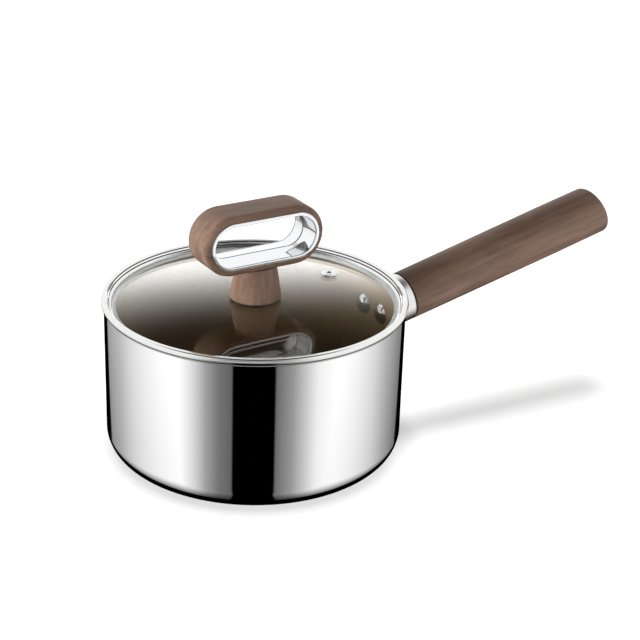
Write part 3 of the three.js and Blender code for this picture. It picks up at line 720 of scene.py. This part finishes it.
class SAUCEPAN_OT_lid_band(Operator):
    """The rolled steel band: grooved bead on the rim, edge over the glass, skirt and lip in the pan"""

    bl_idname = "saucepan.lid_band"
    bl_label = "Lid band"

    def execute(self, context):
        sizes, colours = context.scene.saucepan_lid, context.scene.saucepan_finishes
        outer, skirt, sheet = sizes.outer_radius, sizes.skirt_radius, sizes.sheet
        low, seat, top, cut = sizes.low, sizes.seat, sizes.top, sizes.groove
        inner, high, wide = skirt - sheet, (top - seat) / 2, sizes.bead
        bead = arc(outer - wide, seat + high, (wide, high), -70, 90, 28)
        # Two grooves in the face that falls from the crest to the glass
        crest, foot = np.array((outer - wide - sizes.crest, top)), np.array((inner, sizes.cover))
        lean = math.degrees(math.atan2(*(crest - foot)[::-1]))
        centres = [crest + share * (foot - crest) for share in GROOVES]
        face = np.vstack([arc(*centre, cut, lean, lean - 180, 8) for centre in centres])
        edge = arc(inner - sheet / 2, sizes.cover - sheet / 2, sheet / 2, 90, 270, 10)
        skirt_inside = [(inner, sizes.cover - sheet), (inner, low + sheet), (sizes.lip_radius, low + sheet)]
        below = [(sizes.lip_radius, low), (skirt, low), (skirt, seat)]
        profile = np.vstack((below, bead, [crest], face, edge, skirt_inside))
        # Painted shade along both grooves, and a painted dark line where the bead sits on the pan's rim
        painted_joint_shade = (outer, wide, seat, sizes.joint_shade)
        grooves = [(across, cut, up, cut) for across, up in centres] + [painted_joint_shade]
        steel = rolled_band("rolled_stainless_band", colours, grooves)
        band = turned(profile, LID_SIDES)
        put_piece("rolled_lid_band", band, True, steel, "lid", "lid_rim_band")
        return {"FINISHED"}


def glass_curve(sizes):
    """Radius of the glass's dome: half the sum of edge radius squared over rise, and rise."""
    return (sizes.glass_radius**2 / sizes.glass_rise + sizes.glass_rise) / 2


def glass_fall(sizes, radius):
    """How far the glass has fallen from its middle: the dome's radius less its height over that point."""
    curve = glass_curve(sizes)
    return curve - np.sqrt(curve**2 - radius**2)


def at_vent(sizes, points):
    """Points about the lid's axis, from the glass's face up, brought to the vent and square to the glass."""
    tilt = math.asin(sizes.vent_offset / glass_curve(sizes))
    shift = np.array((sizes.vent_offset, 0, sizes.glass_top - glass_fall(sizes, sizes.vent_offset)))
    return swung(swung(points, tilt, "Y") + shift, sizes.vent_angle + sizes.turn)


class SAUCEPAN_OT_glass(Operator):
    """The lid's glass, a low dome of even thickness, drilled for the knob's screw and for the vent"""

    bl_idname = "saucepan.glass"
    bl_label = "Glass"

    def execute(self, context):
        sizes, colours = context.scene.saucepan_lid, context.scene.saucepan_finishes
        sheet, soft = sizes.glass_sheet, sizes.glass_edge
        radius = np.linspace(sizes.glass_hole, sizes.glass_radius - soft, 40)
        face = sizes.glass_top - glass_fall(sizes, radius)
        rim = sizes.glass_top - sizes.glass_rise - soft
        above = np.column_stack((radius, face))
        edge = [(sizes.glass_radius, rim), (sizes.glass_radius, rim - sheet + 2 * soft)]
        below = np.column_stack((radius, face - sheet))[::-1]
        pane = turned(np.vstack((above, edge, below)), LID_SIDES)
        glass = tempered_glass("clear_tempered_glass", sizes, colours)
        piece = put_piece("domed_glass", pane, True, glass, "lid", "lid_glass")
        # The lamps' light passes through to the pan
        piece.visible_shadow = piece.visible_diffuse = False
        hole = [(0, -2 * sheet), (sizes.vent_hole, -2 * sheet), (sizes.vent_hole, sheet), (0, sheet)]
        self.drill(context, piece, at_vent(sizes, turned(hole, BIT_SIDES)))
        return {"FINISHED"}

    def drill(self, context, piece, grid):
        """Cuts a closed form out of the piece and keeps the cut mesh."""
        bit = bpy.data.objects.new("vent_bit", grid_mesh("vent_bit", grid, False))
        context.scene.collection.objects.link(bit)
        cutter = piece.modifiers.new("vent_hole", "BOOLEAN")
        cutter.operation, cutter.solver, cutter.object = "DIFFERENCE", "EXACT", bit
        drilled = bpy.data.meshes.new_from_object(piece.evaluated_get(context.evaluated_depsgraph_get()))
        piece.modifiers.remove(cutter)
        whole, piece.data = piece.data, drilled
        drilled.set_sharp_from_angle(angle=SHARP)
        bpy.data.meshes.remove(whole)
        bpy.data.meshes.remove(bit.data)


class SAUCEPAN_OT_vent(Operator):
    """The steam vent's eyelet: a tube through the glass with a stepped, round-edged flange"""

    bl_idname = "saucepan.vent"
    bl_label = "Steam vent"

    def execute(self, context):
        sizes, colours = context.scene.saucepan_lid, context.scene.saucepan_finishes
        bore, tube = sizes.vent_bore, sizes.vent_tube
        soft, step_soft, mouth_soft = sizes.vent_edge, sizes.vent_step_edge, sizes.vent_mouth
        seat, top = FACE_GAP, FACE_GAP + sizes.vent_height
        bottom = -sizes.glass_sheet - sizes.vent_below
        edge = arc(sizes.vent_flange - soft, seat + soft, soft, -90, 90, 12)
        step = arc(sizes.vent_step, top - step_soft, step_soft, 0, 90, 6)
        mouth = arc(bore + mouth_soft, top - mouth_soft, mouth_soft, 90, 180, 8)
        profile = np.vstack(([(bore, bottom), (tube, bottom), (tube, seat)], edge, step, mouth))
        steel = polished_strip("polished_stainless_eyelet", colours)
        eyelet = at_vent(sizes, turned(profile, SMALL_SIDES))
        put_piece("turned_eyelet", eyelet, True, steel, "lid", "vent_eyelet")
        return {"FINISHED"}


class SAUCEPAN_OT_stem(Operator):
    """The walnut stem, a round cone pinched at its top to the loop's depth, on its dark seal"""

    bl_idname = "saucepan.stem"
    bl_label = "Knob stem"

    def execute(self, context):
        sizes, colours = context.scene.saucepan_knob, context.scene.saucepan_finishes
        turn = context.scene.saucepan_lid.turn
        low, high = STEM_LOW.z, STEM_HIGH.z
        base, neck, soft = sizes.stem_base, sizes.stem_top, sizes.stem_foot
        foot = arc(base - soft, low + soft, soft, -90, 0, 8)
        side = np.column_stack((np.linspace(base, neck, 16)[1:], np.linspace(low + soft, high, 16)[1:]))
        points = turned(np.vstack(([(0, low)], foot, side, [(0, high)])), KNOB_SIDES)
        # The depth shrinks evenly with height, until the top is a little shallower than the loop
        pinch = 1 - (sizes.loop_depth / 2 - sizes.stem_inset) / neck
        points[..., 1] *= 1 - pinch * (points[..., 2] - low) / (high - low)
        wood = walnut("walnut_stem", colours, (0, math.radians(90), 0))
        put_piece("walnut_stem", swung(points, turn), False, wood, "lid", "knob_stem")
        top, rim, hole = low - FACE_GAP, base - sizes.seal_inset, sizes.seal_hole
        bottom = top - sizes.seal
        ring = turned([(hole, bottom), (rim, bottom), (rim, top), (hole, top)], KNOB_SIDES)
        seal = black_silicone("black_silicone_knob_seal", colours)
        put_piece("knob_seal", ring, True, seal, "lid", "knob_gasket")
        return {"FINISHED"}


class SAUCEPAN_OT_loop(Operator):
    """The walnut loop, a racetrack ring with rounded outer edges"""

    bl_idname = "saucepan.loop"
    bl_label = "Knob loop"

    def execute(self, context):
        sizes, colours = context.scene.saucepan_knob, context.scene.saucepan_finishes
        turn = context.scene.saucepan_lid.turn
        outer, half, soft = sizes.loop_height / 2, sizes.loop_depth / 2, sizes.edge_round
        hole = outer - sizes.margin - sizes.hole_inset
        front = arc(outer - soft, soft - half, soft, -90, 0, 12)
        back = arc(outer - soft, half - soft, soft, 0, 90, 12)
        profile = np.vstack(([(hole, -half)], front, back, [(hole, half)]))
        points = racetrack(profile, sizes.loop_length / 2 - outer, LOOP_CENTRE)
        wood = walnut("walnut_loop", colours, (0, 0, -turn))
        put_piece("walnut_loop", swung(points, turn), True, wood, "lid", "knob_loop")
        return {"FINISHED"}


class SAUCEPAN_OT_lining(Operator):
    """The loop's chrome lining: a bezel on each face and two funnels that meet at mid depth"""

    bl_idname = "saucepan.lining"
    bl_label = "Knob lining"

    def execute(self, context):
        sizes, colours = context.scene.saucepan_knob, context.scene.saucepan_finishes
        turn = context.scene.saucepan_lid.turn
        outer, wall, throat = sizes.loop_height / 2, sizes.lining, sizes.throat
        bezel, soft = outer - sizes.margin, sizes.bezel_round
        sleeve = bezel - sizes.land
        mouth = sleeve - wall
        face, middle = sizes.loop_depth / 2 + FACE_GAP, FACE_GAP / 2
        front, funnel = face + sizes.bezel, middle + sizes.throat_run
        rim = arc(bezel - soft, front - soft, soft, 0, 90, 6)
        lip = arc(mouth + soft, front - soft, soft, 90, 180, 6)
        eased = arc(throat + soft, middle + soft, soft, 180, 270, 6)
        sleeve_side = [(throat + wall, middle), (sleeve, funnel), (sleeve, face), (bezel, face)]
        profile = np.vstack((eased, sleeve_side, rim, lip, [(mouth, funnel + wall)]))
        # Painted shade, in the plating's colour, where the two funnels meet and behind each bezel
        lines = [(middle, sizes.parting), (front - sizes.shade_inset, sizes.shade)]
        plate = chrome_plate("bright_chrome_plate", colours, -turn, lines)
        for side, name in ((-1, "front"), (1, "back")):
            points = racetrack(profile * (1, side), sizes.loop_length / 2 - outer, LOOP_CENTRE)
            placed = swung(points, turn)
            put_piece(f"chrome_lining_{name}", placed, True, plate, "lid", f"knob_trim_{name}")
        return {"FINISHED"}


class SAUCEPAN_OT_hidden(Operator):
    """Finishes of the pieces inside and below, which keep their own solids"""

    bl_idname = "saucepan.hidden"
    bl_label = "Inner pieces"

    def execute(self, context):
        colours = context.scene.saucepan_finishes
        aluminium = mottled("rolled_aluminium_core", colours.aluminium, 1, (0.3, 0.45), 3 * MM)
        zinc = mottled("zinc_plated_steel", colours.zinc, 1, (0.22, 0.38), 1.4 * MM)
        brass = mottled("turned_brass", colours.brass, 1, (0.2, 0.34), 1.1 * MM)
        finishes = {
            "pan_core": aluminium,
            "handle_bracket": zinc,
            "handle_stud": zinc,
            "handle_insert": brass,
            "vent_ring": polished_strip("polished_stainless_ring", colours),
            "knob_under_gasket": black_silicone("black_silicone_washer", colours),
            "knob_washer": zinc,
            "knob_screw": zinc,
            "knob_insert": brass,
            "knob_loop_screw": zinc,
        }
        for name, material in finishes.items():
            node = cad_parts[name]
            node.data.materials.clear()
            node.data.materials.append(material)
        return {"FINISHED"}


# Studio

# Level of the studio walls that the pan's side mirrors, by degrees to the right of the camera: a black flag
# in front and bright paper at the sides and behind
STUDIO_WALLS = [
    (-180, 1.9), (-149, 1.675), (-124, 1.269), (-107, 1.283), (-92, 1.196), (-71, 1.056), (-57, 0.981),
    (-46.6, 0.692), (-36.6, 0.352), (-27, 0.179), (-16.8, 0.12), (-15.6, 0), (16, 0), (17, 0.15), (20, 0.185),
    (29.6, 0.311), (39.4, 0.568), (49.5, 0.87), (65.5, 1.022), (83, 1.125), (103, 1.182), (120, 1.063),
    (143, 1.049), (180, 1.9),
]
# Sines of elevation between which those walls end and what stands above them begins
WALLS_TOP = {"From Min": -0.38, "From Max": -0.3}
# Down and behind, the walls darken. Each row is a direction in the walls' frame, where -Y points to the
# camera, and cosines of the angle to it over which the level falls: in the base's round, along a black line
# at the base's edge, and along black lines at its sides
DARK_FOOT = [
    ((0, 0.5, -0.866), {"From Min": 0.2, "From Max": 0.8, "To Min": 1.3, "To Max": 0.13}),
    ((0, 0.5, -0.866), {"From Min": 0.78, "From Max": 0.765}),
    ((0, 0.8, -0.6), {"From Min": 0.884, "From Max": 0.87}),
]
# The walls' edges bend below a sine of elevation, by a power of the depth below it times a reach
BEND_START, BEND_POWER, BEND_REACH = -0.41, 3, 2.2
# Level of what stands above the walls, by elevation in degrees: a grey screen on the camera's side, and
# bright paper elsewhere, both under a dark ceiling
FRONT_SCREEN = [(-90, 0.2), (-24, 0.3), (-10, 0.6), (10, 0.5), (29, 0.36), (60, 0.32), (70, 0.08), (90, 0.03)]
PAPER = [(-90, 0.05), (-20, 1), (0, 1.15), (48, 1.15), (64, 0.1), (90, 0.03)]
# How far it is the screen that stands there, by degrees to either side of the camera
SCREEN_SPREAD = [(0, 1), (22, 1), (48, 0), (180, 0)]
# Level of the paper that lights dull surfaces, by elevation: a low ring of paper all round
DULL_LIGHT = [(-90, 0.5), (0, 2.1), (18, 2.2), (21, 0.3), (26, 0.1), (90, 0.06)]
# Level of the card that the glass mirrors, by elevation: bright at its foot and black towards its top
BACK_CARD = [
    (10, 3.2), (15, 3.2), (16.6, 3.1), (17.6, 2.85), (18.6, 2.45), (19.6, 1.9), (20.6, 1.4), (21.6, 0.98),
    (22.6, 0.66), (23.6, 0.4), (24.6, 0.21), (25.6, 0.1), (26.6, 0.04), (28, 0.015), (60, 0.015),
]
# The card leans to the right. It stands behind, past these degrees from the camera, and off the floor, past
# these degrees of elevation, and it shows to rays that have passed fewer faces of the glass than this
CARD_LEAN = math.radians(-11.3)
CARD_SIDE, CARD_FOOT = {"From Min": 140, "From Max": 150}, {"From Min": 2, "From Max": 8}
CARD_PASSES = 2.5
# Soft boxes: name, setting of the power, place, width and height, and what each one lights or leaves out
SOFT_BOXES = [
    ("soft_box_left", "left_box", (-1.13, 0.4, 0.2), (0.6, 0.2), "EXCLUDE", ["studio_floor"]),
    (
        "soft_box_above", "top_box", (0.06, 0, 1.1), (0.5, 0.5), "INCLUDE",
        ["domed_glass", "walnut_stem", "walnut_loop"],
    ),
    (
        "soft_box_front", "front_box", (-0.98, -0.69, 0.345), (0.8, 0.35), "INCLUDE",
        ["coated_inside", "rivet_left", "rivet_right"],
    ),
]
# Where the sun stands, and the pieces whose shadow it lays
SUN_SIDE, SUN_BLOCKERS = (0.29, 0.503, 1), ("walnut_grip", "polished_ferrule")
FLOOR_REACH = 6
# Painted contact shadow: openness below which the floor darkens no more, and the share of tone and lift left
# there
CONTACT_SHADE = {"From Min": 0.3, "To Min": 0.55}
# Width of the camera's frame in millimetres, and degrees in a radian
FILM_WIDTH, DEGREE = 36, math.degrees(1)


def ramp_of(tree, value, table):
    """A table of places and levels as a ramp that runs from its first place to its last."""
    low, high, top = table[0][0], table[-1][0], max(light for _, light in table)
    share = add(tree, "MapRange", {"Value": value, "From Min": low, "From Max": high})
    stops = [((place - low) / (high - low), light / top) for place, light in table]
    shown = add(tree, "ValToRGB", {"Fac": share}, stops)
    return add(tree, "Math", {0: shown, 1: top}, operation="MULTIPLY")


def elevation(tree, direction):
    """Degrees of a direction above the horizon: the arc sine of its height."""
    height = add(tree, "SeparateXYZ", {"Vector": direction}, out="Z")
    slope = add(tree, "Math", {0: height}, operation="ARCSINE")
    return add(tree, "Math", {0: slope, 1: DEGREE}, operation="MULTIPLY")


class SAUCEPAN_OT_stage(Operator):
    """A pale floor, the walls and card that shining pieces mirror, a sun, soft boxes and the camera"""

    bl_idname = "saucepan.stage"
    bl_label = "Studio"

    def execute(self, context):
        settings = context.scene.saucepan_stage
        floor = self.floor(context, settings)
        self.world(context, settings)
        self.sun(context, settings, floor)
        for name, power, *lamp in SOFT_BOXES:
            self.soft_box(context, name, getattr(settings, power), *lamp)
        self.camera(context, settings)
        context.scene.view_settings.view_transform = "Standard"
        return {"FINISHED"}

    def floor(self, context, settings):
        """A wide pale sheet, lifted to white for the camera, with a painted contact shadow: tone and lift
        darken close to what stands on it.

        Mirrors see the studio walls instead of it.
        """
        mesh = bpy.data.meshes.new("studio_floor")
        corners = [(FLOOR_REACH * x, FLOOR_REACH * y, 0) for x, y in ((-1, -1), (1, -1), (1, 1), (-1, 1))]
        mesh.from_pydata(corners, [], [(0, 1, 2, 3)])
        material, tree, surface, _ = new_finish("pale_paper_floor")
        # Painted contact shadow: ambient occlusion darkens the floor's colour and its lift near the pieces
        near = add(tree, "AmbientOcclusion", {"Distance": settings.contact}, out="AO")
        shade = add(tree, "MapRange", {"Value": near, **CONTACT_SHADE})
        tones = {0: shade, 6: (0, 0, 0, 1), 7: opaque(settings.paper)}
        base = add(tree, "Mix", tones, out=2, data_type="RGBA")
        seen = add(tree, "LightPath", out="Is Camera Ray")
        lift = add(tree, "Math", {0: seen, 1: settings.floor_lift}, operation="MULTIPLY")
        lift = add(tree, "Math", {0: lift, 1: shade}, operation="MULTIPLY")
        feed(surface, {"Base Color": base, "Roughness": 1, "Specular IOR Level": 0})
        feed(surface, {"Emission Color": (1, 1, 1, 1), "Emission Strength": lift})
        mesh.materials.append(material)
        sheet = bpy.data.objects.new("studio_floor", mesh)
        sheet.visible_glossy = False
        context.scene.collection.objects.link(sheet)
        return sheet

    def world(self, context, settings):
        """Even light on what is dull; what shines sees the walls, and the glass also the card behind."""
        world = bpy.data.worlds.new("studio")
        context.scene.world = world
        world.use_nodes = True
        tree = world.node_tree
        tree.nodes.clear()
        direction = add(tree, "TexCoord", out="Generated")
        turn = (0, 0, settings.walls_turn)
        facing = add(tree, "Mapping", {"Vector": direction, "Rotation": turn})
        axes = add(tree, "SeparateXYZ", {"Vector": facing}).node.outputs
        around, rise = self.around(tree, axes), elevation(tree, facing)
        aside = add(tree, "Math", {0: around}, operation="ABSOLUTE")
        screen, paper = ramp_of(tree, rise, FRONT_SCREEN), ramp_of(tree, rise, PAPER)
        above = add(tree, "Mix", {0: ramp_of(tree, aside, SCREEN_SPREAD), 2: paper, 3: screen})
        raised = add(tree, "MapRange", {"Value": axes["Z"], **WALLS_TOP})
        shine = add(tree, "Mix", {0: raised, 2: self.walls(tree, facing, around), 3: above})
        path = add(tree, "LightPath").node.outputs
        card, on_card = self.card(tree, facing, aside, rise, path)
        mirrored = add(tree, "Mix", {0: on_card, 2: shine, 3: card})
        dull = ramp_of(tree, rise, DULL_LIGHT)
        chosen = add(tree, "Mix", {0: path["Is Glossy Ray"], 2: dull, 3: mirrored})
        shown = add(tree, "Mix", {0: path["Is Camera Ray"], 2: chosen, 3: 1})
        light = add(tree, "Background", {"Color": (1, 1, 1, 1), "Strength": shown})
        add(tree, "OutputWorld", {"Surface": light})

    def around(self, tree, axes):
        """Degrees to the right of the camera: the arc tangent of across over ahead.

        Ahead grows in the bend, so that the walls' edges run straight down in the round of the base.
        """
        bend = {0: axes["Z"], 1: -1, 2: BEND_START}
        bend = add(tree, "Math", bend, operation="MULTIPLY_ADD", use_clamp=True)
        bend = add(tree, "Math", {0: bend, 1: BEND_POWER}, operation="POWER")
        bend = add(tree, "Math", {0: bend, 1: BEND_REACH}, operation="MULTIPLY")
        ahead = add(tree, "Math", {0: bend, 1: axes["Y"]}, operation="SUBTRACT")
        turn = add(tree, "Math", {0: axes["X"], 1: ahead}, operation="ARCTAN2")
        return add(tree, "Math", {0: turn, 1: DEGREE}, operation="MULTIPLY")

    def walls(self, tree, facing, around):
        """Level of the studio walls, times the share that is left of it at their dark foot."""
        light = ramp_of(tree, around, STUDIO_WALLS)
        for side, fall in DARK_FOOT:
            dot = {0: facing, 1: side}
            cosine = add(tree, "VectorMath", dot, out="Value", operation="DOT_PRODUCT")
            share = add(tree, "MapRange", {"Value": cosine, **fall})
            light = add(tree, "Math", {0: light, 1: share}, operation="MULTIPLY")
        return light

    def card(self, tree, facing, aside, rise, path):
        """Level of the card behind, and whether it is seen: only the glass's own faces mirror it."""
        leaning = add(tree, "Mapping", {"Vector": facing, "Rotation": (0, CARD_LEAN, 0)})
        light = ramp_of(tree, elevation(tree, leaning), BACK_CARD)
        passes = {0: path["Transmission Depth"], 1: CARD_PASSES}
        shallow = add(tree, "Math", passes, operation="LESS_THAN")
        seen = add(tree, "Math", {0: path["Is Singular Ray"], 1: shallow}, operation="MULTIPLY")
        for place, span in ((aside, CARD_SIDE), (rise, CARD_FOOT)):
            there = add(tree, "MapRange", {"Value": place, **span})
            seen = add(tree, "Math", {0: seen, 1: there}, operation="MULTIPLY")
        return light, seen

    def sun(self, context, settings, floor):
        """A soft sun from behind that lights the floor alone, and lays only the handle's shadow there."""
        data = bpy.data.lights.new("sun_behind", "SUN")
        data.energy, data.angle = settings.sun, settings.sun_spread
        lamp = bpy.data.objects.new("sun_behind", data)
        lamp.rotation_mode = "QUATERNION"
        lamp.rotation_quaternion = Vector(SUN_SIDE).to_track_quat("Z", "Y")
        context.scene.collection.objects.link(lamp)
        lit = bpy.data.collections.new("lit_by_sun")
        lit.objects.link(floor)
        shading = bpy.data.collections.new("shading_sun")
        for name in SUN_BLOCKERS:
            shading.objects.link(bpy.data.objects[name])
        lamp.light_linking.receiver_collection = lit
        lamp.light_linking.blocker_collection = shading

    def soft_box(self, context, name, power, place, size, state, pieces):
        """A soft box, aimed at the lid. It lights the pieces alone, or all but them if they are left out."""
        data = bpy.data.lights.new(name, "AREA")
        data.shape, data.energy = "RECTANGLE", power
        data.size, data.size_y = size
        lamp = bpy.data.objects.new(name, data)
        lamp.location = place
        lamp.rotation_mode = "QUATERNION"
        lamp.rotation_quaternion = (lamp.location - Vector((0, 0, STEM_LOW.z))).to_track_quat("Z", "Y")
        lamp.visible_glossy = False
        context.scene.collection.objects.link(lamp)
        linked = bpy.data.collections.new(f"{name}_pieces")
        for piece in pieces:
            linked.objects.link(bpy.data.objects[piece])
        for entry in linked.collection_objects:
            entry.light_linking.link_state = state
        lamp.light_linking.receiver_collection = linked

    def camera(self, context, settings):
        """A long lens that looks down at the middle of pan and handle."""
        swing, dip = settings.azimuth, settings.elevation
        back = Vector((math.sin(swing) * math.cos(dip), -math.cos(swing) * math.cos(dip), math.sin(dip)))
        across = Vector((math.cos(swing), math.sin(swing), 0))
        upright = back.cross(across)
        right = across * math.cos(settings.roll) + upright * math.sin(settings.roll)
        up = upright * math.cos(settings.roll) - across * math.sin(settings.roll)
        target = Vector((settings.target_x, 0, settings.target_z))
        data = bpy.data.cameras.new("studio_camera")
        data.sensor_width, data.lens = FILM_WIDTH, settings.lens
        camera = bpy.data.objects.new("studio_camera", data)
        turn = Matrix((right, up, back)).transposed().to_4x4()
        camera.matrix_world = Matrix.Translation(target + back * settings.distance) @ turn
        context.scene.collection.objects.link(camera)
        context.scene.camera = camera


class SAUCEPAN_PT_pieces(Panel):
    """Pieces of the saucepan, in the order they are made"""

    bl_idname = "SAUCEPAN_PT_pieces"
    bl_label = "Saucepan"
    bl_space_type = "VIEW_3D"
    bl_region_type = "UI"
    bl_category = "Saucepan"

    def draw(self, context):
        column = self.layout.column(align=True)
        for operator in OPERATORS:
            column.operator(operator.bl_idname)


GROUPS = {
    "saucepan_pan": SaucepanPanSizes,
    "saucepan_handle": SaucepanHandleSizes,
    "saucepan_lid": SaucepanLidSizes,
    "saucepan_knob": SaucepanKnobSizes,
    "saucepan_finishes": SaucepanFinishes,
    "saucepan_stage": SaucepanStageSizes,
}
OPERATORS = (
    SAUCEPAN_OT_pan,
    SAUCEPAN_OT_rivets,
    SAUCEPAN_OT_ferrule,
    SAUCEPAN_OT_grip,
    SAUCEPAN_OT_lid_band,
    SAUCEPAN_OT_glass,
    SAUCEPAN_OT_vent,
    SAUCEPAN_OT_stem,
    SAUCEPAN_OT_loop,
    SAUCEPAN_OT_lining,
    SAUCEPAN_OT_hidden,
    SAUCEPAN_OT_stage,
)


def register():
    """Registers the sizes, the operators and the panel."""
    for group in GROUPS.values():
        bpy.utils.register_class(group)
    for name, group in GROUPS.items():
        setattr(bpy.types.Scene, name, PointerProperty(type=group))
    for shown in (*OPERATORS, SAUCEPAN_PT_pieces):
        bpy.utils.register_class(shown)


def unregister():
    """Takes the panel, the operators and the sizes out again."""
    for shown in reversed((*OPERATORS, SAUCEPAN_PT_pieces)):
        bpy.utils.unregister_class(shown)
    for name in GROUPS:
        delattr(bpy.types.Scene, name)
    for group in GROUPS.values():
        bpy.utils.unregister_class(group)


def main():
    """Builds every piece and the studio in order."""
    register()
    for operator in OPERATORS:
        group, name = operator.bl_idname.split(".")
        getattr(getattr(bpy.ops, group), name)()


if __name__ == "__main__":
    main()
